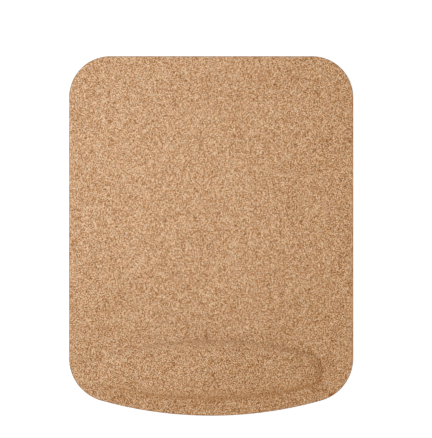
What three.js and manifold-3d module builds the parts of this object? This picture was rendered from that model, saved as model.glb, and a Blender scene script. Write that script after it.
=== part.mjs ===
// Mouse pad with a built-in wrist rest, in millimetres, +Z up.
// A cork sheet on a cloth backing is pressed over a gel pouch and bonded to a foam base with a rubber sole.
// The origin is on the desk under the middle of the pad. The wrist rest is at the front, towards -Y.
import * as THREE from 'three';
import { mergeVertices } from 'three/addons/utils/BufferGeometryUtils.js';
import loadManifold from 'manifold-3d';

// Outline of the pad from above: straight sides and back, and a front edge that bows towards the user
const PAD_WIDTH = 200;
const PAD_LENGTH = 253;
const BACK_CORNER_RADIUS = 29;
const FRONT_CORNER_RADIUS = 31;
const FRONT_BOW_RADIUS = 286;

// Thickness of each layer, from the desk up
const SOLE_THICKNESS = 1.2;
const BASE_FILM_THICKNESS = 0.2;
const FOAM_THICKNESS = 2.6;
const TOP_FILM_THICKNESS = 0.2;
const CLOTH_THICKNESS = 0.4;
const CORK_THICKNESS = 0.9;

// Edges of the stack: the cork is pressed round, the sole is trimmed round, the glue films stop short
const CORK_EDGE_ROUND = 0.7;
const SOLE_EDGE_ROUND = 0.5;
const FILM_SETBACK = 0.3;

// Wrist rest: a lens-shaped footprint with round ends, kept clear of the pad's edge
const REST_HEIGHT = 8.8;
const REST_END_FALL = 4;
const REST_DEPTH = 42.6;
const REST_FRONT_MARGIN = 11.1;
const REST_SIDE_MARGIN = 21.2;
const REST_END_RADIUS = 12.5;
const REST_END_SLOPE = 18;
const CROWN_DEPTH = 13;

// Section of the rest from its foot to its crown, as shares of the way in:
// how long it stays low, and how soon it is nearly full height
const FOOT_HOLLOW = 0.05;
const SHOULDER_FULLNESS = 0.05;

// Gel pouch: two films welded together along a flange, laid in a shallow recess of the foam
const POUCH_FILM_THICKNESS = 0.3;
const POUCH_FLANGE = 5;
const POUCH_CLEARANCE = 0.5;
const BOND_LINE = 0.3;

// Tread in the sole: rows of wavy grooves that stop short of the edge
const TREAD_PITCH = 10;
const TREAD_WIDTH = 1.6;
const TREAD_GROOVE_DEPTH = 0.4;
const TREAD_WAVE_LENGTH = 40;
const TREAD_WAVE_SWING = 2.4;
const TREAD_MARGIN = 7;

// Fineness of the curves, in straight steps
const CORNER_STEPS = 9;
const BOW_STEPS = 16;
const REST_END_STEPS = 9;
const REST_SIDE_STEPS = 18;
const SECTION_STEPS = 8;
const WAVE_STEPS = 6;

const manifold = await loadManifold();
manifold.setup();

// Heights of the faces between the layers
const FOAM_BOTTOM = SOLE_THICKNESS + BASE_FILM_THICKNESS;
const FOAM_TOP = FOAM_BOTTOM + FOAM_THICKNESS;
const CLOTH_BOTTOM = FOAM_TOP + TOP_FILM_THICKNESS;
const PAD_TOP = CLOTH_BOTTOM + CLOTH_THICKNESS + CORK_THICKNESS;

// The bow of the pad's front edge and the front of the wrist rest share this centre
const BOW_CENTRE_Y = FRONT_BOW_RADIUS - PAD_LENGTH / 2;

function arc(x, y, radius, from, to, steps) {
  return new THREE.EllipseCurve(x, y, radius, radius, from, to).getPoints(steps);
}

// Joins arcs into one closed loop, with a single point where one arc starts on the end of another.
function loop(...arcs) {
  const points = arcs.flat();
  return points.filter((point, i) => point.distanceTo(points.at(i - 1)) > 1e-6);
}

// Outline of the pad drawn in by an inset, counter-clockwise from the right side.
function padOutline(inset) {
  const backX = PAD_WIDTH / 2 - BACK_CORNER_RADIUS;
  const backY = PAD_LENGTH / 2 - BACK_CORNER_RADIUS;
  const frontX = PAD_WIDTH / 2 - FRONT_CORNER_RADIUS;
  const frontY = BOW_CENTRE_Y - Math.sqrt((FRONT_BOW_RADIUS - FRONT_CORNER_RADIUS) ** 2 - frontX ** 2);
  const turn = Math.atan2(frontX, BOW_CENTRE_Y - frontY);
  const back = BACK_CORNER_RADIUS - inset;
  const front = FRONT_CORNER_RADIUS - inset;
  const down = 1.5 * Math.PI;
  return loop(
    arc(backX, backY, back, 0, Math.PI / 2, CORNER_STEPS),
    arc(-backX, backY, back, Math.PI / 2, Math.PI, CORNER_STEPS),
    arc(-frontX, frontY, front, Math.PI, down - turn, CORNER_STEPS),
    arc(0, BOW_CENTRE_Y, FRONT_BOW_RADIUS - inset, down - turn, down + turn, BOW_STEPS),
    arc(frontX, frontY, front, down + turn, 2 * Math.PI, CORNER_STEPS),
  );
}

// Footprint of the wrist rest drawn in by an inset: its front runs along the bowed edge of the pad,
// and the arc of its back is the one that meets both round ends without a corner.
function restOutline(inset) {
  const frontRadius = FRONT_BOW_RADIUS - REST_FRONT_MARGIN;
  const endX = PAD_WIDTH / 2 - REST_SIDE_MARGIN - REST_END_RADIUS;
  const endY = BOW_CENTRE_Y - Math.sqrt((frontRadius - REST_END_RADIUS) ** 2 - endX ** 2);
  const backY = REST_FRONT_MARGIN + REST_DEPTH - PAD_LENGTH / 2;
  const drop = backY - endY;
  const backRadius = (endX ** 2 + drop ** 2 - REST_END_RADIUS ** 2) / (2 * (drop - REST_END_RADIUS));
  const backCentreY = backY - backRadius;
  const frontTurn = Math.atan2(endX, BOW_CENTRE_Y - endY);
  const backTurn = Math.atan2(endX, endY - backCentreY);
  const end = REST_END_RADIUS - inset;
  const up = Math.PI / 2;
  const down = 1.5 * Math.PI;
  return loop(
    arc(endX, endY, end, frontTurn - up, up - backTurn, REST_END_STEPS),
    arc(0, backCentreY, backRadius - inset, up - backTurn, up + backTurn, REST_SIDE_STEPS),
    arc(-endX, endY, end, up + backTurn, down - frontTurn, REST_END_STEPS),
    arc(0, BOW_CENTRE_Y, frontRadius - inset, down - frontTurn, down + frontTurn, REST_SIDE_STEPS),
  );
}

// The crown of the rest is its footprint shrunk about the middle of its depth.
const foot = restOutline(0);
const REST_HALF_LENGTH = PAD_WIDTH / 2 - REST_SIDE_MARGIN;
const REST_MIDDLE_Y = REST_FRONT_MARGIN + REST_DEPTH / 2 - PAD_LENGTH / 2;
const CROWN_SHARE_X = 1 - REST_END_SLOPE / REST_HALF_LENGTH;
const CROWN_SHARE_Y = CROWN_DEPTH / REST_DEPTH;
const crown = foot.map(({ x, y }) => {
  return new THREE.Vector2(x * CROWN_SHARE_X, REST_MIDDLE_Y + (y - REST_MIDDLE_Y) * CROWN_SHARE_Y);
});

// One station of the rest's section: a cubic curve that leaves the foot and reaches the crown level.
function station(t) {
  const s = 1 - t;
  return {
    inward: 3 * s * s * t * FOOT_HOLLOW + 3 * s * t * t * SHOULDER_FULLNESS + t ** 3,
    rise: 3 * s * t * t + t ** 3,
    inwardRate: 3 * s * s * FOOT_HOLLOW + 6 * s * t * (SHOULDER_FULLNESS - FOOT_HOLLOW)
      + 3 * t * t * (1 - SHOULDER_FULLNESS),
    riseRate: 6 * s * t,
  };
}
const section = Array.from({ length: SECTION_STEPS + 1 }, (_, k) => station(k / SECTION_STEPS));

// Rings over the wrist rest, from foot to crown, of the surface a given depth under the finished face.
// The depth is taken square to the surface, so a layer keeps its thickness on the steep sides.
// Towards the crown the layers stand apart by the slack, which is the thickness of the glue there.
function restRings(depth, slack) {
  return section.map(({ inward, rise, inwardRate, riseRate }) => foot.map((point, i) => {
    const way = crown[i].clone().sub(point);
    const length = way.length();
    const height = REST_HEIGHT - REST_END_FALL * (point.x / REST_HALF_LENGTH) ** 2;
    const run = length * inwardRate;
    const climb = height * riseRate;
    const steepness = Math.hypot(run, climb);
    const below = depth + slack * rise;
    const place = point.clone().addScaledVector(way, inward + below * climb / steepness / length);
    return new THREE.Vector3(place.x, place.y, PAD_TOP + height * rise - below * run / steepness);
  }));
}

function level(outline, z) {
  return outline.map(({ x, y }) => new THREE.Vector3(x, y, z));
}

// Closed solid whose rim is a chain of rings from bottom to top. Its underside and its top are plain caps,
// or level faces from which a chain of rings runs inwards over the wrist rest.
function solidFromRings(rim, under = [], over = []) {
  const points = [];
  const triangles = [];
  const place = (ring) => {
    points.push(...ring);
    return { ring, start: points.length - ring.length };
  };
  const triangle = (a, b, c, turned) => triangles.push(a, turned ? c : b, turned ? b : c);
  const bands = (rings, turned) => rings.slice(1).forEach((inner, k) => rings[k].ring.forEach((_, i) => {
    const outer = rings[k];
    const j = (i + 1) % outer.ring.length;
    triangle(outer.start + i, outer.start + j, inner.start + j, turned);
    triangle(outer.start + i, inner.start + j, inner.start + i, turned);
  }));
  const faceAround = (outer, hole, turned) => {
    const index = [outer, hole].flatMap(({ ring, start }) => ring.map((_, i) => start + i));
    for (const [a, b, c] of THREE.ShapeUtils.triangulateShape([...outer.ring], [[...hole.ring]])) {
      triangle(index[a], index[b], index[c], turned);
    }
  };
  // A cap is laid in cross strips from the right end to the left, between the front and the back of its ring.
  const cap = ({ ring, start }, turned) => {
    const at = (k) => start + (k + ring.length) % ring.length;
    let front = Math.floor(REST_END_STEPS / 2);
    let back = front + 1;
    while (back - front < ring.length - 1) {
      triangle(at(front), at(back), at(back + 1), turned);
      back += 1;
      if (back - front < ring.length - 1) {
        triangle(at(front), at(back), at(front - 1), turned);
        front -= 1;
      }
    }
  };
  const [rimRings, underRings, overRings] = [rim, under, over].map((rings) => rings.map(place));
  bands(rimRings, false);
  const close = (edge, rings, turned) => {
    if (rings.length) {
      faceAround(edge, rings[0], turned);
      bands(rings, turned);
    }
    cap(rings.at(-1) ?? edge, turned);
  };
  close(rimRings[0], underRings, true);
  close(rimRings.at(-1), overRings, false);
  const geometry = new THREE.BufferGeometry().setFromPoints(points);
  geometry.setIndex(triangles);
  geometry.computeVertexNormals();
  return geometry;
}

// Flat sheet between two heights, with a window in it where one is given.
function sheet(outline, bottom, top, window) {
  const shape = new THREE.Shape(outline);
  if (window) {
    shape.holes.push(new THREE.Path(window));
  }
  const geometry = new THREE.ExtrudeGeometry(shape, { depth: top - bottom, bevelEnabled: false });
  return geometry.translate(0, 0, bottom);
}

function toSolid(geometry) {
  const plain = geometry.clone();
  plain.deleteAttribute('normal');
  plain.deleteAttribute('uv');
  const merged = mergeVertices(plain);
  const mesh = new manifold.Mesh({
    numProp: 3,
    vertProperties: merged.attributes.position.array,
    triVerts: new Uint32Array(merged.index.array),
  });
  return new manifold.Manifold(mesh);
}

function toGeometry(solid) {
  const mesh = solid.getMesh();
  const geometry = new THREE.BufferGeometry();
  geometry.setAttribute('position', new THREE.BufferAttribute(mesh.vertProperties, 3));
  geometry.setIndex(new THREE.BufferAttribute(mesh.triVerts, 1));
  geometry.computeVertexNormals();
  return geometry;
}

// Points on a quarter round of the rim, as insets from the outline and distances from the face.
function roundSteps(radius) {
  return [0, 1, 2].map((k) => {
    const angle = k * Math.PI / 4;
    return { inset: radius * (1 - Math.sin(angle)), fromFace: radius * (1 - Math.cos(angle)) };
  });
}

const pad = new THREE.Group();
pad.name = 'mouse_pad';

function add(name, geometry, color, roughness) {
  const material = new THREE.MeshStandardMaterial({ color, roughness, metalness: 0 });
  const mesh = new THREE.Mesh(geometry, material);
  mesh.name = name;
  pad.add(mesh);
}

// Sole: rubber sheet, trimmed round below, with the tread moulded in
const soleRim = roundSteps(SOLE_EDGE_ROUND).map(({ inset, fromFace }) => {
  return level(padOutline(inset), fromFace);
});
const solePlain = solidFromRings([...soleRim, level(padOutline(0), SOLE_THICKNESS)]);
const treadRows = Math.floor((PAD_LENGTH - 2 * TREAD_MARGIN) / TREAD_PITCH / 2);
const waveCount = Math.ceil(PAD_WIDTH / TREAD_WAVE_LENGTH / 2);
function groove(row) {
  const middle = Array.from({ length: 2 * waveCount * WAVE_STEPS + 1 }, (_, k) => {
    const turns = k / WAVE_STEPS - waveCount;
    const swing = TREAD_WAVE_SWING * Math.sin(2 * Math.PI * turns);
    return new THREE.Vector2(turns * TREAD_WAVE_LENGTH, (row + 0.5) * TREAD_PITCH + swing);
  });
  const near = middle.map(({ x, y }) => new THREE.Vector2(x, y - TREAD_WIDTH / 2));
  const far = middle.map(({ x, y }) => new THREE.Vector2(x, y + TREAD_WIDTH / 2));
  return toSolid(sheet([...near, ...far.reverse()], -SOLE_THICKNESS, TREAD_GROOVE_DEPTH));
}
const grooves = Array.from({ length: 2 * treadRows }, (_, k) => groove(k - treadRows));
const treadField = toSolid(sheet(padOutline(TREAD_MARGIN), -2 * SOLE_THICKNESS, SOLE_THICKNESS));
const tread = manifold.Manifold.union(grooves).intersect(treadField);
add('grip_sole', toGeometry(toSolid(solePlain).subtract(tread)), 0x1f1f21, 0.85);

// Glue film between the sole and the foam
const filmOutline = padOutline(FILM_SETBACK);
add('base_bond_film', sheet(filmOutline, SOLE_THICKNESS, FOAM_BOTTOM), 0xd9cfb8, 0.5);

// Foam base with the recess that takes the gel pouch
const pouchBottom = CLOTH_BOTTOM - 2 * POUCH_FILM_THICKNESS;
const recessOutline = restOutline(-POUCH_FLANGE - POUCH_CLEARANCE);
const foamPlain = toSolid(sheet(padOutline(0), FOAM_BOTTOM, FOAM_TOP));
const recess = toSolid(sheet(recessOutline, pouchBottom, PAD_TOP));
add('foam_base', toGeometry(foamPlain.subtract(recess)), 0x3b3b3d, 0.95);

// Glue film between the foam and the cloth, with a window for the pouch
add('top_bond_film', sheet(filmOutline, FOAM_TOP, CLOTH_BOTTOM, recessOutline), 0xd9cfb8, 0.5);

// Gel pouch: a flat film below, the gel on it, and a film drawn over the gel and welded along the flange
const pouchOutline = restOutline(-POUCH_FLANGE);
const pouchTopDepth = CORK_THICKNESS + CLOTH_THICKNESS;
const pouchInnerDepth = pouchTopDepth + POUCH_FILM_THICKNESS;
const gelFloor = PAD_TOP - pouchInnerDepth;
add('gel_pouch_lower_film', sheet(pouchOutline, pouchBottom, gelFloor), 0xd6dde0, 0.3);

const gelRings = restRings(pouchInnerDepth + BOND_LINE, 2 * BOND_LINE).slice(1);
const gelBase = gelRings[0].map(({ x, y }) => new THREE.Vector3(x, y, gelFloor));
add('wrist_gel', solidFromRings([gelBase, ...gelRings]), 0xb9cfd8, 0.2);

const upperFilm = solidFromRings(
  [level(pouchOutline, gelFloor), level(pouchOutline, CLOTH_BOTTOM)],
  restRings(pouchInnerDepth, 2 * BOND_LINE),
  restRings(pouchTopDepth, 2 * BOND_LINE),
);
add('gel_pouch_upper_film', upperFilm, 0xd6dde0, 0.3);

// Cloth backing of the cork, drawn over the pouch with it
const corkBottom = PAD_TOP - CORK_THICKNESS;
const cloth = solidFromRings(
  [level(padOutline(0), CLOTH_BOTTOM), level(padOutline(0), corkBottom)],
  restRings(pouchTopDepth, BOND_LINE),
  restRings(CORK_THICKNESS, BOND_LINE),
);
add('backing_cloth', cloth, 0xcbbfa6, 0.95);

// Cork sheet with its rim pressed round
const corkRim = roundSteps(CORK_EDGE_ROUND).map(({ inset, fromFace }) => {
  return level(padOutline(inset), PAD_TOP - fromFace);
});
const cork = solidFromRings(
  [level(padOutline(0), corkBottom), ...corkRim.reverse()],
  restRings(CORK_THICKNESS, 0),
  restRings(0, 0),
);
add('cork_top_sheet', cork, 0xc19873, 0.9);

export default pad;
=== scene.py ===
import math

import bpy
import numpy as np
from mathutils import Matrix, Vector
from mathutils.geometry import delaunay_2d_cdt


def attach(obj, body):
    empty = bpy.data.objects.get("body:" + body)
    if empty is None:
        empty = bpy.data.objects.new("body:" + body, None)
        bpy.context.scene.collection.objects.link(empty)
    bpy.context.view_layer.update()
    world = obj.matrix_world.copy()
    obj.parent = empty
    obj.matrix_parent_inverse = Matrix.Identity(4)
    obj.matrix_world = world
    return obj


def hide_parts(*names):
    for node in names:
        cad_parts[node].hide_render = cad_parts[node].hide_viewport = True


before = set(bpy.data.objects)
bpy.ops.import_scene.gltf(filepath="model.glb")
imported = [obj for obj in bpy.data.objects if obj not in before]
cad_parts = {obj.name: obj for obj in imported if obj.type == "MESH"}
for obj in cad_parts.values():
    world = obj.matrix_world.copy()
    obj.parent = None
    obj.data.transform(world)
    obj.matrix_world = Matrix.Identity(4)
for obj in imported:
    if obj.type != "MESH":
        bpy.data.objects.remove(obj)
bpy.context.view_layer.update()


# Grip sole
# A sheet of black rubber that keeps the pad from sliding on the desk. Its lower edge is trimmed round,
# and rows of wavy grooves are moulded into the face that grips. All the other layers are bonded on it.
PAD_WIDTH = 0.200
PAD_LENGTH = 0.253
BACK_CORNER = 0.029
FRONT_CORNER = 0.031
FRONT_BOW = 0.286
BOW_CENTRE_Y = FRONT_BOW - PAD_LENGTH / 2
SOLE_TOP = 0.0012
SOLE_ROUND = 0.0005
LAYER_SPACING = 0.003
TREAD_MARGIN = 0.007
TREAD_ROWS = 22
TREAD_PITCH = 0.010
GROOVE_WIDTH = 0.0016
GROOVE_DEPTH = 0.0004
WAVE_LENGTH = 0.040
WAVE_SWING = 0.0024
WAVE_POINTS = 161
GROOVE_SIDES = 20
RUBBER_BLACK = (0.020, 0.020, 0.021, 1)
RUBBER_GREY = (0.038, 0.038, 0.039, 1)
RUBBER_DUST = (0.075, 0.072, 0.068, 1)
SAME_PLACE = 1e-9


def arc(x, y, radius, start, end, steps):
    turn = np.linspace(start, end, steps + 1)
    return np.column_stack((x + radius * np.cos(turn), y + radius * np.sin(turn)))


def closed_line(arcs, inset, spacing):
    """Arcs joined into one loop and drawn in by an inset, with points about a spacing apart."""
    runs = [
        arc(x, y, radius - inset, start, end, math.ceil(radius * (end - start) / spacing))
        for x, y, radius, start, end in arcs
    ]
    points = []
    for run, following in zip(runs, runs[1:] + runs[:1]):
        points.append(run[:-1])
        straight = following[0] - run[-1]
        length = np.linalg.norm(straight)
        if length > SAME_PLACE:
            steps = math.ceil(length / spacing)
            points.append(run[-1] + np.arange(steps)[:, None] / steps * straight)
    return np.concatenate(points)


def pad_outline(inset, spacing):
    """The pad seen from above, counter-clockwise from its right side."""
    back_x = PAD_WIDTH / 2 - BACK_CORNER
    back_y = PAD_LENGTH / 2 - BACK_CORNER
    front_x = PAD_WIDTH / 2 - FRONT_CORNER
    front_y = BOW_CENTRE_Y - math.sqrt((FRONT_BOW - FRONT_CORNER) ** 2 - front_x**2)
    turn = math.atan2(front_x, BOW_CENTRE_Y - front_y)
    up, left, down = math.pi / 2, math.pi, 1.5 * math.pi
    arcs = (
        (back_x, back_y, BACK_CORNER, 0, up),
        (-back_x, back_y, BACK_CORNER, up, left),
        (-front_x, front_y, FRONT_CORNER, left, down - turn),
        (0, BOW_CENTRE_Y, FRONT_BOW, down - turn, down + turn),
        (front_x, front_y, FRONT_CORNER, down + turn, 2 * math.pi),
    )
    return closed_line(arcs, inset, spacing)


def at_height(outline, z):
    return np.column_stack((outline, np.full(len(outline), z)))


def inside(points, outline):
    """Which of the points lie inside a closed outline."""
    result = np.zeros(len(points), bool)
    for (x0, y0), (x1, y1) in zip(outline, np.roll(outline, -1, axis=0)):
        if y0 != y1:
            crosses = (points[:, 1] < y0) != (points[:, 1] < y1)
            result ^= crosses & (points[:, 0] < x0 + (points[:, 1] - y0) * (x1 - x0) / (y1 - y0))
    return result


class Layup:
    """Points and faces of one piece, laid up ring by ring from its lower face to its upper face."""

    def __init__(self):
        self.points = []
        self.faces = []

    def ring(self, points):
        start = len(self.points)
        self.points.extend(tuple(p) for p in points)
        return list(range(start, len(self.points)))

    def bands(self, rings, turned=False):
        for low, high in zip(rings, rings[1:]):
            for a, b, c, d in zip(low, low[1:] + low[:1], high[1:] + high[:1], high):
                self.faces.append((d, c, b, a) if turned else (a, b, c, d))

    def level_face(self, edge, hole=(), extra=(), turned=False):
        """Fills a level outline with triangles through the extra points, round a hole if there is one."""
        index = [*edge, *hole, *extra]
        places = [Vector(self.points[i][:2]) for i in index]
        outside = range(len(edge))
        within = range(len(edge), len(edge) + len(hole))
        lines = [(a, b) for loop in (outside, within) for a, b in zip(loop, [*loop[1:], *loop[:1]])]
        inside_only = 1
        _, _, triangles, origins, _, _ = delaunay_2d_cdt(places, lines, [], inside_only, SAME_PLACE)
        for triangle in triangles:
            a, b, c = (origins[i][0] for i in triangle)
            if a in within and b in within and c in within:
                continue
            first, second = places[b] - places[a], places[c] - places[a]
            flat = [index[a], index[b], index[c]]
            if (first.cross(second) < 0) != turned:
                flat.reverse()
            self.faces.append(flat)

    def piece(self, name):
        mesh = bpy.data.meshes.new(name)
        mesh.from_pydata(self.points, [], self.faces)
        made = bpy.data.objects.new(name, mesh)
        bpy.context.scene.collection.objects.link(made)
        return made


def soften(piece, angle):
    """Smooth shading, with edges sharper than the angle kept crisp."""
    piece.data.polygons.foreach_set("use_smooth", np.ones(len(piece.data.polygons), bool))
    piece.data.set_sharp_from_angle(angle=math.radians(angle))


def put(tree, kind, inputs=None, **settings):
    """Adds a node, with its options set and its inputs filled by values or by other nodes' sockets."""
    made = tree.nodes.new(kind)
    for name, value in settings.items():
        setattr(made, name, value)
    for name, value in (inputs or {}).items():
        if isinstance(value, bpy.types.NodeSocket):
            tree.links.new(value, made.inputs[name])
        else:
            made.inputs[name].default_value = value
    return made


def maths(tree, operation, a, b=0.0):
    return put(tree, "ShaderNodeMath", {0: a, 1: b}, operation=operation).outputs[0]


def add_share(tree, total, part, share):
    return maths(tree, "ADD", total, maths(tree, "MULTIPLY", part, share))


def map_range(tree, value, low, high, to_low, to_high, blend="LINEAR"):
    """A value taken from one range to another, and held at its ends."""
    ends = {0: value, 1: low, 2: high, 3: to_low, 4: to_high}
    return put(tree, "ShaderNodeMapRange", ends, interpolation_type=blend).outputs[0]


def mix_colours(tree, share, a, b, blend="MIX"):
    colours = {0: share, 6: a, 7: b}
    return put(tree, "ShaderNodeMix", colours, data_type="RGBA", blend_type=blend).outputs[2]


def add_sockets(tree, in_out, **sockets):
    for name, kind in sockets.items():
        tree.interface.new_socket(name.replace("_", " "), in_out=in_out, socket_type="NodeSocket" + kind)


def form_by_nodes(piece, tree, **values):
    """Runs a Geometry Nodes tree on the piece with these values, and keeps the result as its plain mesh."""
    modifier = piece.modifiers.new(tree.name, "NODES")
    modifier.node_group = tree
    for item in tree.interface.items_tree:
        key = item.name.replace(" ", "_")
        if item.in_out == "INPUT" and key in values:
            modifier[item.identifier] = values[key]
    bpy.context.view_layer.update()
    scene_now = bpy.context.evaluated_depsgraph_get()
    formed = bpy.data.meshes.new_from_object(
        piece.evaluated_get(scene_now), preserve_all_data_layers=True, depsgraph=scene_now
    )
    piece.modifiers.remove(modifier)
    piece.data = formed


def end_tree(tree, geometry, material):
    """Closes a Geometry Nodes tree: all of it real geometry, dressed in one material."""
    real = put(tree, "GeometryNodeRealizeInstances", {0: geometry})
    dressed = put(tree, "GeometryNodeSetMaterial", {"Geometry": real.outputs[0], "Material": material})
    put(tree, "NodeGroupOutput", {0: dressed.outputs[0]})


def mottle_group():
    """Soft uneven tone at one size, and the small height that goes with it."""
    tree = bpy.data.node_groups.new("mottle", "ShaderNodeTree")
    add_sockets(tree, "INPUT", Place="Vector", Size="Float")
    add_sockets(tree, "OUTPUT", Tone="Float", Height="Float")
    given = put(tree, "NodeGroupInput").outputs
    fine_per_broad = 5.3
    fine_share = 0.5
    scale = maths(tree, "DIVIDE", 1.0, given["Size"])
    broad = put(tree, "ShaderNodeTexNoise", {"Vector": given["Place"], "Scale": scale, "Detail": 3.0})
    fine_scale = maths(tree, "MULTIPLY", scale, fine_per_broad)
    fine = put(tree, "ShaderNodeTexNoise", {"Vector": given["Place"], "Scale": fine_scale, "Detail": 2.0})
    sum_of_both = add_share(tree, broad.outputs["Fac"], fine.outputs["Fac"], fine_share)
    tone = maths(tree, "SUBTRACT", sum_of_both, fine_share / 2)
    put(tree, "NodeGroupOutput", {"Tone": tone, "Height": fine.outputs["Fac"]})
    return tree


def granule_group():
    """Irregular packed grains of one size: each grain's tone, chance and height, and the gaps between."""
    tree = bpy.data.node_groups.new("granules", "ShaderNodeTree")
    add_sockets(tree, "INPUT", Place="Vector", Size="Float", Gap_Width="Float")
    add_sockets(tree, "OUTPUT", Tone="Float", Chance="Float", Height="Float", Gap="Float")
    given = put(tree, "NodeGroupInput").outputs
    bends_per_grain = 1.3
    bend_reach = 0.7
    scale = maths(tree, "DIVIDE", 1.0, given["Size"])
    sized = put(tree, "ShaderNodeVectorMath", {0: given["Place"], "Scale": scale}, operation="SCALE").outputs
    noise = {"Vector": sized[0], "Scale": bends_per_grain, "Detail": 2.0}
    bend = put(tree, "ShaderNodeTexNoise", noise).outputs["Color"]
    bend = put(tree, "ShaderNodeVectorMath", {0: bend, "Scale": bend_reach}, operation="SCALE").outputs[0]
    place = put(tree, "ShaderNodeVectorMath", {0: sized[0], 1: bend}, operation="ADD").outputs[0]
    grains = put(tree, "ShaderNodeTexVoronoi", {"Vector": place, "Scale": 1.0})
    edges = put(tree, "ShaderNodeTexVoronoi", {"Vector": place, "Scale": 1.0}, feature="DISTANCE_TO_EDGE")
    random = put(tree, "ShaderNodeSeparateColor", {0: grains.outputs["Color"]}).outputs
    gap = map_range(tree, edges.outputs["Distance"], 0.0, given["Gap Width"], 1.0, 0.0, "SMOOTHSTEP")
    height = maths(tree, "SUBTRACT", 1.0, grains.outputs["Distance"])
    put(tree, "NodeGroupOutput", {"Tone": random[0], "Chance": random[1], "Height": height, "Gap": gap})
    return tree


mottle = mottle_group()
granules = granule_group()


def new_material(name):
    """An empty material with its shader, and the place on the object that its pattern reads."""
    material = bpy.data.materials.new(name)
    material.use_nodes = True
    tree = material.node_tree
    tree.nodes.clear()
    shader = put(tree, "ShaderNodeBsdfPrincipled")
    put(tree, "ShaderNodeOutputMaterial", {"Surface": shader.outputs[0]})
    return material, tree, shader, put(tree, "ShaderNodeTexCoord").outputs["Object"]


def share_group(tree, group, **inputs):
    named = {name.replace("_", " "): value for name, value in inputs.items()}
    return put(tree, "ShaderNodeGroup", named, node_tree=group).outputs


def bump(tree, shader, height, strength, distance):
    made = put(tree, "ShaderNodeBump", {"Height": height, "Strength": strength, "Distance": distance})
    tree.links.new(made.outputs[0], shader.inputs["Normal"])


def tone_to_range(tree, tone, low, high):
    """Spreads the span that most of a tone falls in over a range."""
    tone_low, tone_high = 0.2, 0.8
    return map_range(tree, tone, tone_low, tone_high, low, high)


def moulded_rubber():
    material, tree, shader, place = new_material("moulded_rubber")
    cloud = share_group(tree, mottle, Place=place, Size=0.014)
    pebble = share_group(tree, granules, Place=place, Size=0.0007, Gap_Width=0.25)
    dust = share_group(tree, mottle, Place=place, Size=0.0025)
    colour = mix_colours(tree, cloud["Tone"], RUBBER_BLACK, RUBBER_GREY)
    pale = tone_to_range(tree, dust["Tone"], low=0.0, high=0.22)
    tree.links.new(mix_colours(tree, pale, colour, RUBBER_DUST), shader.inputs["Base Color"])
    tree.links.new(tone_to_range(tree, cloud["Tone"], low=0.62, high=0.84), shader.inputs["Roughness"])
    relief = add_share(tree, pebble["Height"], pebble["Gap"], share=-0.4)
    bump(tree, shader, relief, strength=0.45, distance=0.00012)
    shader.inputs["Specular IOR Level"].default_value = 0.42
    return material


def tread_tree():
    """Cuts rows of round-bottomed wavy grooves into the sole, inside the tread field."""
    tree = bpy.data.node_groups.new("wave_tread", "GeometryNodeTree")
    add_sockets(tree, "INPUT", Geometry="Geometry", Field="Object", Rows="Int", Row_Pitch="Float")
    add_sockets(tree, "INPUT", Row_Length="Float", Wave_Length="Float", Wave_Swing="Float")
    add_sockets(tree, "INPUT", Groove_Radius="Float", Groove_Sink="Float", Rubber="Material")
    add_sockets(tree, "OUTPUT", Geometry="Geometry")
    given = put(tree, "NodeGroupInput").outputs

    def vector(x=0.0, y=0.0, z=0.0):
        return put(tree, "ShaderNodeCombineXYZ", {0: x, 1: y, 2: z}).outputs[0]

    half = maths(tree, "MULTIPLY", given["Row Length"], 0.5)
    ends = {"Start": vector(maths(tree, "MULTIPLY", half, -1.0)), "End": vector(half)}
    line = put(tree, "GeometryNodeCurvePrimitiveLine", ends)
    line = put(tree, "GeometryNodeResampleCurve", {"Curve": line.outputs[0], "Count": WAVE_POINTS})
    place = put(tree, "GeometryNodeInputPosition").outputs[0]
    along = put(tree, "ShaderNodeSeparateXYZ", {0: place}).outputs[0]
    turns = maths(tree, "DIVIDE", along, given["Wave Length"])
    swing = maths(tree, "SINE", maths(tree, "MULTIPLY", turns, 2 * math.pi))
    swing = vector(y=maths(tree, "MULTIPLY", swing, given["Wave Swing"]))
    wave = put(tree, "GeometryNodeSetPosition", {"Geometry": line.outputs[0], "Offset": swing})
    circle = {"Resolution": GROOVE_SIDES, "Radius": given["Groove Radius"]}
    round_cut = put(tree, "GeometryNodeCurvePrimitiveCircle", circle)
    cutter = put(
        tree,
        "GeometryNodeCurveToMesh",
        {"Curve": wave.outputs[0], "Profile Curve": round_cut.outputs[0], "Fill Caps": True},
    )
    first_row = maths(tree, "MULTIPLY", maths(tree, "SUBTRACT", given["Rows"], 1.0), -0.5)
    first_row = maths(tree, "MULTIPLY", first_row, given["Row Pitch"])
    sunk = maths(tree, "MULTIPLY", given["Groove Sink"], -1.0)
    row_line = {
        "Count": given["Rows"],
        "Start Location": vector(y=first_row, z=sunk),
        "Offset": vector(y=given["Row Pitch"]),
    }
    starts = put(tree, "GeometryNodeMeshLine", row_line)
    at_starts = {"Points": starts.outputs[0], "Instance": cutter.outputs[0]}
    rows = put(tree, "GeometryNodeInstanceOnPoints", at_starts)
    rows = put(tree, "GeometryNodeRealizeInstances", {0: rows.outputs[0]})
    field = put(tree, "GeometryNodeObjectInfo", {"Object": given["Field"]})
    kept = put(
        tree,
        "GeometryNodeMeshBoolean",
        {"Mesh 2": rows.outputs[0]},
        operation="INTERSECT",
        solver="MANIFOLD",
    )
    tree.links.new(field.outputs["Geometry"], kept.inputs["Mesh 2"])
    cut = put(
        tree,
        "GeometryNodeMeshBoolean",
        {"Mesh 1": given["Geometry"], "Mesh 2": kept.outputs[0]},
        operation="DIFFERENCE",
        solver="MANIFOLD",
    )
    end_tree(tree, cut.outputs[0], given["Rubber"])
    return tree


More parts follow.
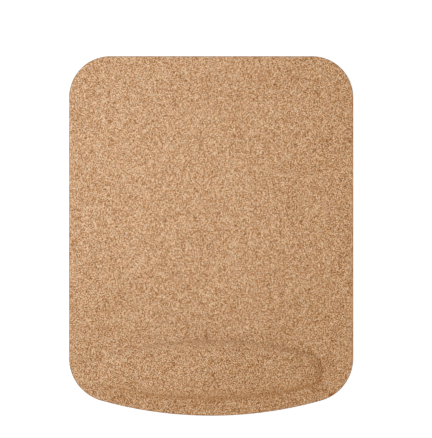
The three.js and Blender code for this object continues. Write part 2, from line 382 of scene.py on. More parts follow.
def quarter_round(radius, steps):
    """Insets and heights of a rounded edge, from the face it starts on to the upright side."""
    turn = np.linspace(0, math.pi / 2, steps + 1)
    return list(zip(radius * (1 - np.sin(turn)), radius * (1 - np.cos(turn))))


def slab(outline, bottom, top):
    """A plain level-faced solid."""
    made = Layup()
    low, high = (made.ring(at_height(outline, z)) for z in (bottom, top))
    made.bands([low, high])
    made.level_face(low, turned=True)
    made.level_face(high)
    return made


sole_layup = Layup()
sole_rings = [
    sole_layup.ring(at_height(pad_outline(inset, LAYER_SPACING), z))
    for inset, z in quarter_round(SOLE_ROUND, steps=4)
]
sole_rings.append(sole_layup.ring(at_height(pad_outline(0, LAYER_SPACING), SOLE_TOP)))
sole_layup.bands(sole_rings)
sole_layup.level_face(sole_rings[0], turned=True)
sole_layup.level_face(sole_rings[-1])
sole = sole_layup.piece("rubber_grip_sole")
tread_field = slab(pad_outline(TREAD_MARGIN, LAYER_SPACING), -2 * SOLE_TOP, SOLE_TOP).piece("tread_field")
groove_radius = (GROOVE_WIDTH**2 / 4 + GROOVE_DEPTH**2) / (2 * GROOVE_DEPTH)
form_by_nodes(
    sole,
    tread_tree(),
    Field=tread_field,
    Rows=TREAD_ROWS,
    Row_Pitch=TREAD_PITCH,
    Row_Length=PAD_WIDTH,
    Wave_Length=WAVE_LENGTH,
    Wave_Swing=WAVE_SWING,
    Groove_Radius=groove_radius,
    Groove_Sink=groove_radius - GROOVE_DEPTH,
    Rubber=moulded_rubber(),
)
bpy.data.objects.remove(tread_field)
soften(sole, angle=32)
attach(sole, "root")
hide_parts("grip_sole")


# Base bond film
# A cream hot-melt glue film that joins the sole to the foam. It is laid between the two sheets and ironed
# on, and it stops a little short of the trimmed edge, with an uneven line where the glue has run.
GLUE_SETBACK = 0.0003
GLUE_RUN = 0.00012
GLUE_SEED = 11
GLUE_TAN = (0.50, 0.43, 0.31, 1)
GLUE_CREAM = (0.70, 0.63, 0.49, 1)
GLUE_THICK = (0.62, 0.52, 0.36, 1)
BASE_FILM_TOP = 0.0014


def hot_melt_film():
    material, tree, shader, place = new_material("hot_melt_film")
    cloud = share_group(tree, mottle, Place=place, Size=0.006)
    run = share_group(tree, mottle, Place=place, Size=0.0012)
    colour = mix_colours(tree, cloud["Tone"], GLUE_TAN, GLUE_CREAM)
    tree.links.new(mix_colours(tree, run["Tone"], colour, GLUE_THICK), shader.inputs["Base Color"])
    tree.links.new(tone_to_range(tree, run["Tone"], low=0.36, high=0.58), shader.inputs["Roughness"])
    bump(tree, shader, run["Height"], strength=0.3, distance=0.0001)
    return material


def glue_outline():
    """The film's edge, in and out by the run of the glue."""
    inner = pad_outline(GLUE_SETBACK + GLUE_RUN, LAYER_SPACING)
    outer = pad_outline(GLUE_SETBACK, LAYER_SPACING)
    share = np.random.default_rng(GLUE_SEED).random((len(inner), 1))
    return inner + (outer - inner) * share


glue = hot_melt_film()
base_film = slab(glue_outline(), SOLE_TOP, BASE_FILM_TOP).piece("sole_glue_film")
base_film.data.materials.append(glue)
soften(base_film, angle=40)
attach(base_film, "root")
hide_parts("base_bond_film")


# Foam base
# The body of the pad, die-cut from dark fine-celled foam. The cut side springs back slightly hollow,
# and a shallow recess is pressed into the top face for the gel pouch of the wrist rest.
FOAM_TOP = 0.0040
FOAM_HOLLOW = 0.00014
FOAM_RINGS = 7
FOAM_CELL = 0.00032
FOAM_DARK = (0.026, 0.026, 0.027, 1)
FOAM_GREY = (0.070, 0.070, 0.072, 1)
FOAM_CELL_WALL = (0.090, 0.090, 0.093, 1)
FOAM_CLOUD = (0.028, 0.028, 0.029, 1)
CLOTH_BOTTOM = 0.0042
POUCH_FILM = 0.0003
POUCH_BOTTOM = CLOTH_BOTTOM - 2 * POUCH_FILM
POUCH_FLANGE = 0.005
RECESS_CLEARANCE = 0.0005
REST_DEPTH = 0.0426
REST_FRONT_MARGIN = 0.0111
REST_SIDE_MARGIN = 0.0212
REST_END_RADIUS = 0.0125


def rest_outline(inset, spacing):
    """Footprint of the rest: its front follows the bowed edge, and one arc at its back meets both ends."""
    front = FRONT_BOW - REST_FRONT_MARGIN
    end_x = PAD_WIDTH / 2 - REST_SIDE_MARGIN - REST_END_RADIUS
    end_y = BOW_CENTRE_Y - math.sqrt((front - REST_END_RADIUS) ** 2 - end_x**2)
    back_y = REST_FRONT_MARGIN + REST_DEPTH - PAD_LENGTH / 2
    drop = back_y - end_y
    back = (end_x**2 + drop**2 - REST_END_RADIUS**2) / (2 * (drop - REST_END_RADIUS))
    front_turn = math.atan2(end_x, BOW_CENTRE_Y - end_y)
    back_turn = math.atan2(end_x, end_y - back_y + back)
    up, down = math.pi / 2, 1.5 * math.pi
    arcs = (
        (end_x, end_y, REST_END_RADIUS, front_turn - up, up - back_turn),
        (0, back_y - back, back, up - back_turn, up + back_turn),
        (-end_x, end_y, REST_END_RADIUS, up + back_turn, down - front_turn),
        (0, BOW_CENTRE_Y, front, down - front_turn, down + front_turn),
    )
    return closed_line(arcs, inset, spacing)


def fine_cell_foam():
    material, tree, shader, place = new_material("fine_cell_foam")
    cells = share_group(tree, granules, Place=place, Size=FOAM_CELL, Gap_Width=0.3)
    cloud = share_group(tree, mottle, Place=place, Size=0.005)
    wall_share = 0.6
    colour = mix_colours(tree, cells["Tone"], FOAM_DARK, FOAM_GREY)
    colour = mix_colours(tree, maths(tree, "MULTIPLY", cells["Gap"], wall_share), colour, FOAM_CELL_WALL)
    shade = tone_to_range(tree, cloud["Tone"], low=0.0, high=0.35)
    tree.links.new(mix_colours(tree, shade, colour, FOAM_CLOUD), shader.inputs["Base Color"])
    tree.links.new(tone_to_range(tree, cells["Tone"], low=0.82, high=0.97), shader.inputs["Roughness"])
    relief = maths(tree, "SUBTRACT", cells["Gap"], cells["Height"])
    bump(tree, shader, relief, strength=0.7, distance=0.0001)
    shader.inputs["Specular IOR Level"].default_value = 0.25
    return material


recess_outline = rest_outline(-POUCH_FLANGE - RECESS_CLEARANCE, LAYER_SPACING)
foam_layup = Layup()
foam_rings = []
for share in np.linspace(0, 1, FOAM_RINGS):
    hollow = FOAM_HOLLOW * math.sin(math.pi * share)
    height = BASE_FILM_TOP + (FOAM_TOP - BASE_FILM_TOP) * share
    foam_rings.append(foam_layup.ring(at_height(pad_outline(hollow, LAYER_SPACING), height)))
foam_layup.bands(foam_rings)
foam_layup.level_face(foam_rings[0], turned=True)
recess_top = foam_layup.ring(at_height(recess_outline, FOAM_TOP))
recess_floor = foam_layup.ring(at_height(recess_outline, POUCH_BOTTOM))
foam_layup.level_face(foam_rings[-1], recess_top)
foam_layup.bands([recess_top, recess_floor])
foam_layup.level_face(recess_floor)
foam = foam_layup.piece("die_cut_foam_base")
foam.data.materials.append(fine_cell_foam())
soften(foam, angle=40)
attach(foam, "root")
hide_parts("foam_base")


# Top bond film
# The same hot-melt film between the foam and the cloth. It has a window where the gel pouch goes through,
# and it too stops short of the edge.
top_film_layup = Layup()
top_film_loops = [
    [top_film_layup.ring(at_height(outline, z)) for z in (FOAM_TOP, CLOTH_BOTTOM)]
    for outline in (glue_outline(), recess_outline)
]
top_film_layup.bands(top_film_loops[0])
top_film_layup.bands(top_film_loops[1], turned=True)
top_film_layup.level_face(top_film_loops[0][0], top_film_loops[1][0], turned=True)
top_film_layup.level_face(top_film_loops[0][1], top_film_loops[1][1])
top_film = top_film_layup.piece("cloth_glue_film")
top_film.data.materials.append(glue)
soften(top_film, angle=40)
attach(top_film, "root")
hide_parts("top_bond_film")


# Lower film of the gel pouch
# A flat clear film under the gel. It is welded to the upper film along a flange,
# and the flange lies in the foam's recess.
GEL_FLOOR = POUCH_BOTTOM + POUCH_FILM
POUCH_CLOUDY = (0.56, 0.63, 0.66, 1)
POUCH_CLEAR = (0.78, 0.82, 0.83, 1)
pouch_outline = rest_outline(-POUCH_FLANGE, LAYER_SPACING)


def pouch_film():
    material, tree, shader, place = new_material("pouch_film")
    haze = share_group(tree, mottle, Place=place, Size=0.009)
    ripple = share_group(tree, mottle, Place=place, Size=0.002)
    colour = mix_colours(tree, haze["Tone"], POUCH_CLOUDY, POUCH_CLEAR)
    tree.links.new(colour, shader.inputs["Base Color"])
    tree.links.new(tone_to_range(tree, haze["Tone"], low=0.18, high=0.36), shader.inputs["Roughness"])
    bump(tree, shader, ripple["Height"], strength=0.25, distance=0.0001)
    return material


clear_film = pouch_film()
lower_film = slab(pouch_outline, POUCH_BOTTOM, GEL_FLOOR).piece("pouch_lower_film")
lower_film.data.materials.append(clear_film)
soften(lower_film, angle=40)
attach(lower_film, "root")
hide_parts("gel_pouch_lower_film")


# Gel of the wrist rest
# A soft clear gel cast in the pouch, where it clings to both films. Its form, a long loaf with round ends,
# is what the cork is drawn over.
PAD_TOP = 0.0055
CORK = 0.0009
CLOTH = 0.0004
BOND_LINE = 0.0003
REST_HEIGHT = 0.0088
REST_END_FALL = 0.0040
REST_END_SLOPE = 0.018
CROWN_DEPTH = 0.013
FOOT_HOLLOW = 0.05
SHOULDER_FULLNESS = 0.05
REST_HALF_LENGTH = PAD_WIDTH / 2 - REST_SIDE_MARGIN
REST_MIDDLE_Y = REST_FRONT_MARGIN + REST_DEPTH / 2 - PAD_LENGTH / 2
CROWN_SHARE = np.array((1 - REST_END_SLOPE / REST_HALF_LENGTH, CROWN_DEPTH / REST_DEPTH))
CROWN_FILL = 0.93
SECTION_SAMPLES = 400
LAYER_STEPS = 20
GEL_DEPTH = CORK + CLOTH + POUCH_FILM + BOND_LINE
GEL_FIRST_RING = 2
POUCH_SLACK = 2 * BOND_LINE
GEL_DEEP = (0.36, 0.52, 0.60, 1)
GEL_PALE = (0.56, 0.70, 0.75, 1)
GEL_BUBBLE = (0.82, 0.88, 0.90, 1)


def rest_section(t):
    """How far in and up the section of the rest is, as shares, at a station from 0 at the foot to 1."""
    s = 1 - t
    inward = 3 * s * s * t * FOOT_HOLLOW + 3 * s * t * t * SHOULDER_FULLNESS + t**3
    return inward, 3 * s * t * t + t**3


def even_stations(count):
    """Stations on the section of the rest, from foot to crown, an even length apart on its middle."""
    t = np.linspace(0, 1, SECTION_SAMPLES)
    inward, rise = rest_section(t)
    across, up = REST_DEPTH / 2 * inward, REST_HEIGHT * rise
    length = np.concatenate(([0], np.cumsum(np.hypot(np.diff(across), np.diff(up)))))
    return np.interp(np.linspace(0, length[-1], count + 1), length, t)


def rest_rings(depth, slack, count, spacing):
    """Rings over the rest, from foot to crown, of the face a given depth under the cork's top.

    The depth is taken square to the surface, and the slack is what the glue adds to it at the crown.
    """
    foot = rest_outline(0, spacing)
    centre = np.array((0, REST_MIDDLE_Y))
    way = (foot - centre) * CROWN_SHARE + centre - foot
    length = np.linalg.norm(way, axis=1)
    height = REST_HEIGHT - REST_END_FALL * (foot[:, 0] / REST_HALF_LENGTH) ** 2
    rings = []
    for t in even_stations(count):
        s = 1 - t
        inward, rise = rest_section(t)
        run = length * (
            3 * s * s * FOOT_HOLLOW
            + 6 * s * t * (SHOULDER_FULLNESS - FOOT_HOLLOW)
            + 3 * t * t * (1 - SHOULDER_FULLNESS)
        )
        climb = height * 6 * s * t
        steepness = np.hypot(run, climb)
        below = depth + slack * rise
        place = foot + way * (inward + below * climb / steepness / length)[:, None]
        rings.append(np.column_stack((place, PAD_TOP + height * rise - below * run / steepness)))
    return rings


def crown_points(ring, below, spacing):
    """Points inside the crown's ring, on its gentle fall towards the ends."""
    low, high = ring[:, :2].min(axis=0), ring[:, :2].max(axis=0)
    x = np.arange(low[0] + spacing, high[0] - spacing / 2, spacing)
    y = np.linspace(low[1], high[1], max(3, round((high[1] - low[1]) / spacing) + 1))[1:-1]
    grid = np.stack(np.meshgrid(x, y), axis=-1).reshape(-1, 2)
    middle = ring[:, :2].mean(axis=0)
    grid = grid[inside(grid, middle + (ring[:, :2] - middle) * CROWN_FILL)]
    fall = REST_END_FALL * (grid[:, 0] / CROWN_SHARE[0] / REST_HALF_LENGTH) ** 2
    return np.column_stack((grid, PAD_TOP + REST_HEIGHT - fall - below))


def clear_gel():
    material, tree, shader, place = new_material("clear_gel")
    cloud = share_group(tree, mottle, Place=place, Size=0.012)
    bubbles = share_group(tree, granules, Place=place, Size=0.003, Gap_Width=0.1)
    bubble = map_range(tree, bubbles["Height"], low=0.86, high=0.93, to_low=0.0, to_high=0.7)
    colour = mix_colours(tree, cloud["Tone"], GEL_DEEP, GEL_PALE)
    tree.links.new(mix_colours(tree, bubble, colour, GEL_BUBBLE), shader.inputs["Base Color"])
    tree.links.new(tone_to_range(tree, cloud["Tone"], low=0.10, high=0.24), shader.inputs["Roughness"])
    bump(tree, shader, cloud["Height"], strength=0.2, distance=0.0002)
    shader.inputs["Subsurface Weight"].default_value = 0.3
    shader.inputs["Subsurface Radius"].default_value = (0.004, 0.006, 0.007)
    return material


gel_layup = Layup()
gel_places = rest_rings(GEL_DEPTH, POUCH_SLACK, LAYER_STEPS, LAYER_SPACING)[GEL_FIRST_RING:]
gel_rings = [gel_layup.ring(at_height(gel_places[0][:, :2], GEL_FLOOR))]
gel_rings += [gel_layup.ring(ring) for ring in gel_places]
gel_layup.bands(gel_rings)
gel_layup.level_face(gel_rings[0], turned=True)
gel_crown = gel_layup.ring(crown_points(gel_places[-1], GEL_DEPTH + POUCH_SLACK, LAYER_SPACING))
gel_layup.level_face(gel_rings[-1], extra=gel_crown)
gel = gel_layup.piece("wrist_rest_gel")
gel.data.materials.append(clear_gel())
soften(gel, angle=50)
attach(gel, "root")
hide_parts("wrist_gel")


# Upper film of the gel pouch
# The film drawn over the gel by heat and vacuum, and welded to the lower film along the flange.
def drawn_layer(rim, under, over, under_crown, over_crown, spacing):
    """A thin layer that lies level round the wrist rest and is drawn over it."""
    made = Layup()
    edge = [made.ring(ring) for ring in rim]
    made.bands(edge)
    for side, rings, crown, turned in (
        (edge[0], under, under_crown, True),
        (edge[-1], over, over_crown, False),
    ):
        laid = [made.ring(ring) for ring in rings]
        made.level_face(side, laid[0], turned=turned)
        made.bands(laid, turned)
        top = made.ring(crown_points(rings[-1], crown, spacing))
        made.level_face(laid[-1], extra=top, turned=turned)
    return made


CLOTH_DEPTH = CORK + CLOTH
upper_film = drawn_layer(
    [at_height(pouch_outline, GEL_FLOOR), at_height(pouch_outline, CLOTH_BOTTOM)],
    rest_rings(CLOTH_DEPTH + POUCH_FILM, POUCH_SLACK, LAYER_STEPS, LAYER_SPACING),
    rest_rings(CLOTH_DEPTH, POUCH_SLACK, LAYER_STEPS, LAYER_SPACING),
    CLOTH_DEPTH + POUCH_FILM + POUCH_SLACK,
    CLOTH_DEPTH + POUCH_SLACK,
    LAYER_SPACING,
).piece("pouch_upper_film")
upper_film.data.materials.append(clear_film)
soften(upper_film, angle=50)
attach(upper_film, "root")
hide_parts("gel_pouch_upper_film")


# Backing cloth
# A plain-woven cotton cloth glued to the back of the cork, so that the thin sheet can be drawn over the
# rest without cracking. Its cut edge shows as a pale line under the cork.
CORK_BOTTOM = PAD_TOP - CORK
CLOTH_SPACING = 0.002
THREAD_PITCH = 0.0005
CLOTH_HOLLOW = (0.44, 0.38, 0.28, 1)
CLOTH_THREAD = (0.66, 0.58, 0.45, 1)
CLOTH_SLUB = (0.50, 0.42, 0.31, 1)


def woven_backing():
    material, tree, shader, place = new_material("woven_backing")
    axes = put(tree, "ShaderNodeSeparateXYZ", {0: place}).outputs
    turns = 2 * math.pi / (2 * THREAD_PITCH)
    across = maths(tree, "SINE", maths(tree, "MULTIPLY", axes[0], turns))
    along = maths(tree, "SINE", maths(tree, "MULTIPLY", axes[1], turns))
    weave = maths(tree, "ADD", maths(tree, "MULTIPLY", maths(tree, "MULTIPLY", across, along), 0.5), 0.5)
    slub = share_group(tree, mottle, Place=place, Size=0.003)
    colour = mix_colours(tree, weave, CLOTH_HOLLOW, CLOTH_THREAD)
    uneven = tone_to_range(tree, slub["Tone"], low=0.0, high=0.5)
    tree.links.new(mix_colours(tree, uneven, colour, CLOTH_SLUB), shader.inputs["Base Color"])
    tree.links.new(tone_to_range(tree, slub["Tone"], low=0.86, high=0.97), shader.inputs["Roughness"])
    relief = add_share(tree, weave, slub["Height"], share=0.5)
    bump(tree, shader, relief, strength=0.6, distance=0.0001)
    shader.inputs["Specular IOR Level"].default_value = 0.2
    return material


cloth_edge = pad_outline(0, CLOTH_SPACING)
cloth = drawn_layer(
    [at_height(cloth_edge, CLOTH_BOTTOM), at_height(cloth_edge, CORK_BOTTOM)],
    rest_rings(CLOTH_DEPTH, BOND_LINE, LAYER_STEPS, CLOTH_SPACING),
    rest_rings(CORK, BOND_LINE, LAYER_STEPS, CLOTH_SPACING),
    CLOTH_DEPTH + BOND_LINE,
    CORK + BOND_LINE,
    CLOTH_SPACING,
).piece("woven_backing_cloth")
cloth.data.materials.append(woven_backing())
soften(cloth, angle=50)
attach(cloth, "root")
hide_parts("backing_cloth")


# Cork top sheet
# Fine cork granules bound into a thin sheet, which is the working face of the pad. It is pressed over the
# rest with its cloth, the rim is pressed round, and the granules leave the face faintly uneven.
CORK_ROUND = 0.0007
CORK_SPACING = 0.00105
CORK_UNDER_STEPS = 14
CORK_OVER_STEPS = 26
CORK_SEED = 7
FACE_JITTER = 0.15
FACE_CLEARANCE = 0.6 * CORK_SPACING
GRANULE_SIZE = 0.00039
GRANULE_STRETCH = (1.15, 0.80, 1.35)
GRANULE_TONE = 1.05
TONE_DROP = 0.37
CORK_TONES = (
    (0.00, (0.132, 0.058, 0.0176, 1)),
    (0.25, (0.255, 0.114, 0.0525, 1)),
    (0.50, (0.437, 0.208, 0.109, 1)),
    (0.75, (0.655, 0.360, 0.1955, 1)),
    (1.00, (0.801, 0.607, 0.406, 1)),
)
CORK_WARM = (1.058, 1.0, 0.915, 1)
CORK_COOL = (0.942, 1.0, 1.085, 1)
CORK_GREY = (0.620, 0.538, 0.472, 1)
CORK_BARK = (0.144, 0.077, 0.033, 1)
# Painted shade: a dark brown laid on the cork's rounded rim, standing in for the shade that falls on it.
RIM_PAINTED_SHADE = (0.172, 0.097, 0.043, 1)
RIM_PAINTED_SHADE_FROM = 0.00004
RIM_PAINTED_SHADE_FULL = 0.00016
RELIEF = 0.00005
RELIEF_AT_RIM = 0.5
LUMPS_PER_GRANULE = 0.45
MAP_MARGIN = 0.0015
MAP_FILL = 0.99


def pressed_cork():
    material, tree, shader, place = new_material("pressed_cork")
    stretched = put(tree, "ShaderNodeMapping", {"Vector": place, "Scale": GRANULE_STRETCH}).outputs[0]
    large = share_group(tree, granules, Place=stretched, Size=2.2 * GRANULE_SIZE, Gap_Width=0.1)
    main = share_group(tree, granules, Place=stretched, Size=GRANULE_SIZE, Gap_Width=0.14)
    fine = share_group(tree, granules, Place=stretched, Size=0.5 * GRANULE_SIZE, Gap_Width=0.2)
    broad = share_group(tree, mottle, Place=place, Size=0.012)
    tone = maths(tree, "MULTIPLY", main["Tone"], GRANULE_TONE)
    tone = add_share(tree, tone, large["Tone"], share=0.12)
    tone = add_share(tree, tone, fine["Tone"], share=0.50)
    tone = add_share(tree, tone, broad["Tone"], share=0.12)
    tone = add_share(tree, tone, main["Gap"], share=-0.12)
    tone = maths(tree, "SUBTRACT", tone, TONE_DROP)
    ramp = put(tree, "ShaderNodeValToRGB", {0: tone})
    while len(ramp.color_ramp.elements) < len(CORK_TONES):
        ramp.color_ramp.elements.new(0.5)
    for element, (position, colour) in zip(ramp.color_ramp.elements, CORK_TONES):
        element.position = position
        element.color = colour
    tint = mix_colours(tree, main["Chance"], CORK_WARM, CORK_COOL)
    colour = mix_colours(tree, 1.0, ramp.outputs[0], tint, blend="MULTIPLY")
    grey = map_range(tree, main["Chance"], low=0.962, high=0.972, to_low=0.0, to_high=0.6)
    colour = mix_colours(tree, grey, colour, CORK_GREY)
    bark = map_range(tree, fine["Chance"], low=0.03, high=0.02, to_low=0.0, to_high=0.6)
    colour = mix_colours(tree, bark, colour, CORK_BARK)
    # Painted shade: the cork turns dark brown where it lies a little below its face, on the rounded rim all
    # round and on the hidden underside.
    height = put(tree, "ShaderNodeSeparateXYZ", {0: place}).outputs["Z"]
    rim_shade_from, rim_shade_full = PAD_TOP - RIM_PAINTED_SHADE_FROM, PAD_TOP - RIM_PAINTED_SHADE_FULL
    rim = map_range(tree, height, rim_shade_from, rim_shade_full, to_low=0.0, to_high=0.9)
    tree.links.new(mix_colours(tree, rim, colour, RIM_PAINTED_SHADE), shader.inputs["Base Color"])
    tree.links.new(tone_to_range(tree, tone, low=0.94, high=0.80), shader.inputs["Roughness"])
    relief = add_share(tree, main["Height"], main["Gap"], share=-0.5)
    relief = add_share(tree, relief, fine["Height"], share=0.4)
    bump(tree, shader, relief, strength=0.35, distance=0.00012)
    shader.inputs["Specular IOR Level"].default_value = 0.12
    return material


def relief_tree():
    """Lifts and sinks the pressed face by the granules under it, where the press weight allows."""
    tree = bpy.data.node_groups.new("granule_relief", "GeometryNodeTree")
    add_sockets(tree, "INPUT", Geometry="Geometry", Granule_Size="Float", Relief="Float", Cork="Material")
    add_sockets(tree, "OUTPUT", Geometry="Geometry")
    given = put(tree, "NodeGroupInput").outputs
    scale = maths(tree, "DIVIDE", LUMPS_PER_GRANULE, given["Granule Size"])
    place = put(tree, "GeometryNodeInputPosition").outputs[0]
    lumps = put(tree, "ShaderNodeTexNoise", {"Vector": place, "Scale": scale, "Detail": 2.0}).outputs["Fac"]
    weight = put(tree, "GeometryNodeInputNamedAttribute", {"Name": "press"}, data_type="FLOAT")
    lift = maths(tree, "MULTIPLY", maths(tree, "SUBTRACT", lumps, 0.5), 2.0)
    lift = maths(tree, "MULTIPLY", lift, given["Relief"])
    lift = maths(tree, "MULTIPLY", lift, weight.outputs["Attribute"])
    square = put(tree, "GeometryNodeInputNormal").outputs[0]
    lift = put(tree, "ShaderNodeVectorMath", {0: square, "Scale": lift}, operation="SCALE").outputs[0]
    moved = put(tree, "GeometryNodeSetPosition", {"Geometry": given["Geometry"], "Offset": lift})
    end_tree(tree, moved.outputs[0], given["Cork"])
    return tree


def lay_out_flat(piece, places, hidden_faces):
    """Gives a sheet a map of itself laid out flat, with its hidden face squeezed beside its seen one."""
    mesh = piece.data
    corners = np.empty(len(mesh.loops), np.int32)
    mesh.loops.foreach_get("vertex_index", corners)
    sides = np.empty(len(mesh.polygons), np.int32)
    mesh.polygons.foreach_get("loop_total", sides)
    hidden = np.repeat(hidden_faces, sides)
    scale = 1 / (PAD_LENGTH + 2 * MAP_MARGIN)
    seen_width = (PAD_WIDTH + 2 * MAP_MARGIN) * scale
    spots = places[corners] * scale + (seen_width / 2, 0.5)
    spots[hidden, 0] = 1 - (1 - spots[hidden, 0] / seen_width) * (MAP_FILL - seen_width)
    mesh.uv_layers.new(name="OFBake").data.foreach_set("uv", spots.astype(np.float32).ravel())


cork_layup = Layup()
cork_section = [(0, CORK), *reversed(quarter_round(CORK_ROUND, steps=5))]
cork_rim = [
    cork_layup.ring(at_height(pad_outline(inset, CORK_SPACING), PAD_TOP - drop))
    for inset, drop in cork_section
]
cork_layup.bands(cork_rim)
under_start = len(cork_layup.faces)
under_places = rest_rings(CORK, 0, CORK_UNDER_STEPS, CORK_SPACING)
under_rings = [cork_layup.ring(ring) for ring in under_places]
cork_layup.level_face(cork_rim[0], under_rings[0], turned=True)
cork_layup.bands(under_rings, turned=True)
under_crown = cork_layup.ring(crown_points(under_places[-1], CORK, 3 * CORK_SPACING))
cork_layup.level_face(under_rings[-1], extra=under_crown, turned=True)
under_end = len(cork_layup.faces)
over_start = len(cork_layup.points)
over_places = rest_rings(0, 0, CORK_OVER_STEPS, CORK_SPACING)
over_rings = [cork_layup.ring(ring) for ring in over_places]
rows = np.arange(-PAD_LENGTH / 2, PAD_LENGTH / 2, CORK_SPACING * math.sqrt(0.75))
columns = np.arange(-PAD_WIDTH / 2, PAD_WIDTH / 2, CORK_SPACING)
face_points = np.stack(np.meshgrid(columns, rows), axis=-1)
face_points[1::2, :, 0] += CORK_SPACING / 2
face_points = face_points.reshape(-1, 2)
jitter = np.random.default_rng(CORK_SEED).uniform(-FACE_JITTER, FACE_JITTER, face_points.shape)
face_points += jitter * CORK_SPACING
clear_of_rim = inside(face_points, pad_outline(CORK_ROUND + FACE_CLEARANCE, CORK_SPACING))
clear_of_rest = ~inside(face_points, rest_outline(-FACE_CLEARANCE, CORK_SPACING))
face_ring = cork_layup.ring(at_height(face_points[clear_of_rim & clear_of_rest], PAD_TOP))
cork_layup.level_face(cork_rim[-1], over_rings[0], face_ring)
cork_layup.bands(over_rings)
over_crown = cork_layup.ring(crown_points(over_places[-1], 0, CORK_SPACING))
cork_layup.level_face(over_rings[-1], extra=over_crown)
cork = cork_layup.piece("pressed_cork_sheet")
press = np.zeros(len(cork.data.vertices), np.float32)
press[cork_rim[-1]] = RELIEF_AT_RIM
press[over_start:] = 1
cork.data.attributes.new("press", "FLOAT", "POINT").data.foreach_set("value", press)
form_by_nodes(cork, relief_tree(), Granule_Size=GRANULE_SIZE, Relief=RELIEF, Cork=pressed_cork())
flat_places = np.array(cork_layup.points)[:, :2]
round_rim = np.linalg.norm(np.diff(cork_section, axis=0), axis=1)
for number, ring in enumerate(cork_rim):
    flat_places[ring] = pad_outline(CORK_ROUND - round_rim[number:].sum(), CORK_SPACING)
under_faces = np.zeros(len(cork_layup.faces), bool)
under_faces[under_start:under_end] = True
lay_out_flat(cork, flat_places, under_faces)
soften(cork, angle=60)
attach(cork, "root")
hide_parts("cork_top_sheet")


# Studio
# A plain pale light table, seen only from above and open under the pad so that the sole is lit too. A tent
# gives soft light, warmer from the right and the front, and a cool soft lamp stands on the left. The camera
# looks straight down, and its film has a little more contrast in the shade than near white.
WHITE = (1, 1, 1, 1)
FLOOR_PAINT = (0.30, 0.30, 0.30, 1)
FLOOR_DROP = 0.0002
FLOOR_HALF = 6.0
FLOOR_OPENING = 0.001
FLOOR_GLOW = 1.1
TENT_LIGHT = 1.19
TENT_COOL = (0.93, 1.00, 1.05, 1)
TENT_WARM = (1.26, 1.00, 0.68, 1)
TENT_WARM_SIDE = (0.45, -0.22, 0.0)
TENT_SLANT = (-0.52, 0.02, -0.40)
LAMP_PLACE = Vector((-0.573, 0.070, 0.95))
LAMP_AIM = Vector((-0.077, 0.056, 0.0))
LAMP_RADIUS = 0.16
LAMP_POWER = 33.9
LAMP_CONE = 27.9
LAMP_COLOUR = (0.90, 1.00, 1.14)
FILM_MIDDLE = 0.30
FILM_FALL = 0.25
FILM_TOE = 0.08
FILM_LEVELS = (0.04, 0.08, 0.12, 0.18, 0.26, 0.36, 0.48, 0.62, 0.78)
CAMERA_PLACE = (0.00344, 0.01193, 1.2886)
CAMERA_LENS = 150


def film_light(level):
    """The light that the film shows at a level between black and white."""
    shade = max(level, FILM_TOE)
    power = ((shade / FILM_MIDDLE) ** FILM_FALL - 1) / FILM_FALL
    return FILM_MIDDLE * math.exp(power) * level / shade


floor_layup = Layup()
corners = FLOOR_HALF * np.array(((-1, -1), (1, -1), (1, 1), (-1, 1)))
floor_edge = floor_layup.ring(at_height(corners, -FLOOR_DROP))
opening = floor_layup.ring(at_height(pad_outline(FLOOR_OPENING, LAYER_SPACING), -FLOOR_DROP))
floor_layup.level_face(floor_edge, opening)
floor = floor_layup.piece("pale_floor")
paint = bpy.data.materials.new("pale_floor_paint")
paint.use_nodes = True
paint_tree = paint.node_tree
paint_tree.nodes.clear()
pale = put(paint_tree, "ShaderNodeBsdfDiffuse", {"Color": FLOOR_PAINT})
seen = put(paint_tree, "ShaderNodeLightPath").outputs["Is Camera Ray"]
seen = maths(paint_tree, "MULTIPLY", seen, FLOOR_GLOW)
glow = put(paint_tree, "ShaderNodeEmission", {"Color": WHITE, "Strength": seen})
lit_top = put(paint_tree, "ShaderNodeAddShader", {0: pale.outputs[0], 1: glow.outputs[0]})
open_side = put(paint_tree, "ShaderNodeBsdfTransparent")
from_below = put(paint_tree, "ShaderNodeNewGeometry").outputs["Backfacing"]
sides = {0: from_below, 1: lit_top.outputs[0], 2: open_side.outputs[0]}
one_sided = put(paint_tree, "ShaderNodeMixShader", sides)
put(paint_tree, "ShaderNodeOutputMaterial", {"Surface": one_sided.outputs[0]})
floor.data.materials.append(paint)

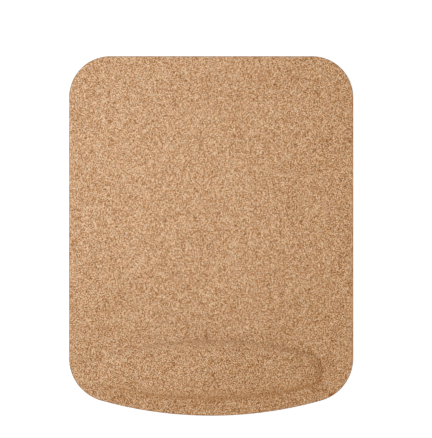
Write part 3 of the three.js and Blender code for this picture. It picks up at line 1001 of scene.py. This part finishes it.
tent = bpy.data.worlds.new("soft_tent")
tent.use_nodes = True
tent_tree = tent.node_tree
tent_tree.nodes.clear()
towards = put(tent_tree, "ShaderNodeTexCoord").outputs["Generated"]
slant = put(tent_tree, "ShaderNodeVectorMath", {0: towards, 1: TENT_SLANT}, operation="DOT_PRODUCT")
slant = maths(tent_tree, "MAXIMUM", maths(tent_tree, "ADD", slant.outputs["Value"], 1.0), 0.0)
strength = maths(tent_tree, "MULTIPLY", slant, TENT_LIGHT)
warmth = put(tent_tree, "ShaderNodeVectorMath", {0: towards, 1: TENT_WARM_SIDE}, operation="DOT_PRODUCT")
warmth = maths(tent_tree, "ADD", warmth.outputs["Value"], 0.5)
wall_colour = mix_colours(tent_tree, warmth, TENT_COOL, TENT_WARM)
walls = put(tent_tree, "ShaderNodeBackground", {"Color": wall_colour, "Strength": strength})
backdrop = put(tent_tree, "ShaderNodeBackground", {"Color": WHITE, "Strength": film_light(1.0)})
looked_at = put(tent_tree, "ShaderNodeLightPath").outputs["Is Camera Ray"]
views = {0: looked_at, 1: walls.outputs[0], 2: backdrop.outputs[0]}
around = put(tent_tree, "ShaderNodeMixShader", views)
put(tent_tree, "ShaderNodeOutputWorld", {"Surface": around.outputs[0]})
bpy.context.scene.world = tent

lamp_data = bpy.data.lights.new("soft_lamp", "SPOT")
lamp_data.energy = LAMP_POWER
lamp_data.color = LAMP_COLOUR
lamp_data.shadow_soft_size = LAMP_RADIUS
lamp_data.spot_size = math.radians(LAMP_CONE)
lamp_data.spot_blend = 1.0
lamp = bpy.data.objects.new("soft_lamp", lamp_data)
lamp.location = LAMP_PLACE
lamp.rotation_mode = "QUATERNION"
lamp.rotation_quaternion = (LAMP_AIM - LAMP_PLACE).to_track_quat("-Z", "Y")
bpy.context.scene.collection.objects.link(lamp)

camera_data = bpy.data.cameras.new("photo_camera")
camera_data.lens = CAMERA_LENS
camera = bpy.data.objects.new("photo_camera", camera_data)
camera.location = CAMERA_PLACE
bpy.context.scene.collection.objects.link(camera)
bpy.context.scene.camera = camera
film = bpy.context.scene.view_settings
film.view_transform = "Standard"
film.use_curve_mapping = True
film_white = film_light(1.0)
film.curve_mapping.white_level = (film_white, film_white, film_white)
all_colours = film.curve_mapping.curves[3]
for level in FILM_LEVELS:
    all_colours.points.new(film_light(level) / film_white, level)
film.curve_mapping.update()
